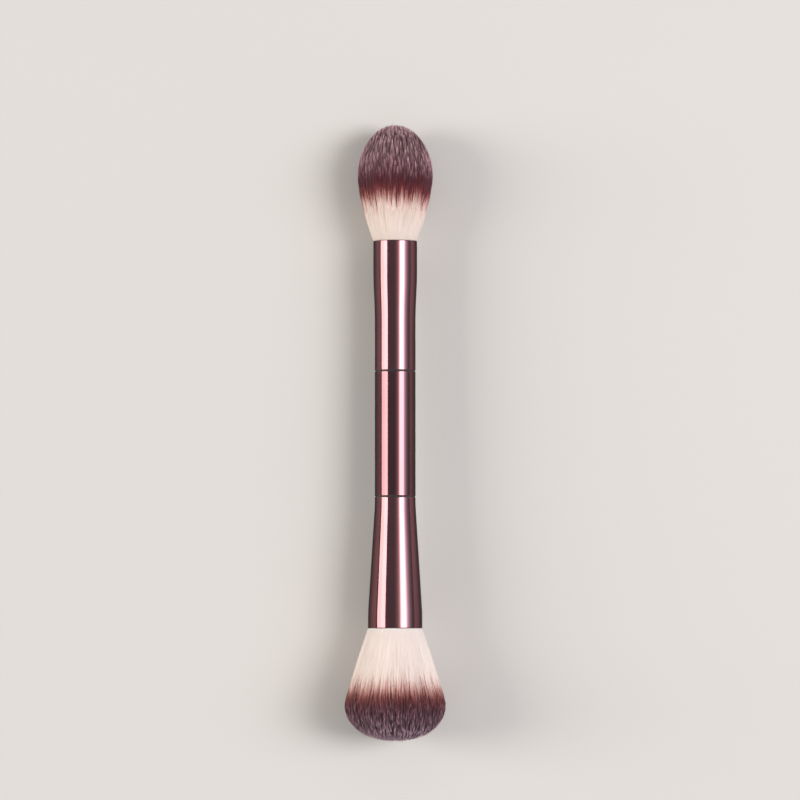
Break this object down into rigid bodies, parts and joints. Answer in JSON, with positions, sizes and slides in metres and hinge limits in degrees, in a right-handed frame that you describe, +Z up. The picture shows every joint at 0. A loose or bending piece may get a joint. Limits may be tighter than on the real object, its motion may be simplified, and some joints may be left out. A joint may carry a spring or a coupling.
{
  "type": "double ended makeup brush",
  "caption": "Makeup brush with a slim pointed tuft at one end and a wide domed tuft at the other, held in flared metal ferrules on a straight metal tube.",
  "frame": {"origin": "on the table the brush lies on, under the middle of its length", "axes": "+X along the brush towards the pointed tuft, +Y across it, +Z up. The brush's own axis leans 1.4 degrees below +X, because the domed tuft is the thicker one"},
  "size_m": [0.178, 0.0293, 0.029],
  "materials": {
    "tube_metal": "glossy mauve-bronze anodised",
    "ferrule_metal": "glossy mauve-bronze anodised",
    "joiner_plastic": "moulded black ABS",
    "pointed_fibres": "soft nylon fibres, dyed from cream at the root to dusty plum at the tip",
    "domed_fibres": "soft nylon fibres, dyed from cream at the root to dusty plum at the tip",
    "tie_thread": "plain cotton thread",
    "epoxy": "set epoxy, amber"
  },
  "bodies": {
    "root": {"handle_tube": "tube_metal", "pointed_ferrule": "ferrule_metal", "domed_ferrule": "ferrule_metal", "pointed_joiner": "joiner_plastic", "domed_joiner": "joiner_plastic", "pointed_tuft": "pointed_fibres", "domed_tuft": "domed_fibres", "pointed_tie": "tie_thread", "domed_tie": "tie_thread", "pointed_glue": "epoxy", "domed_glue": "epoxy"}
  },
  "joints": []
}
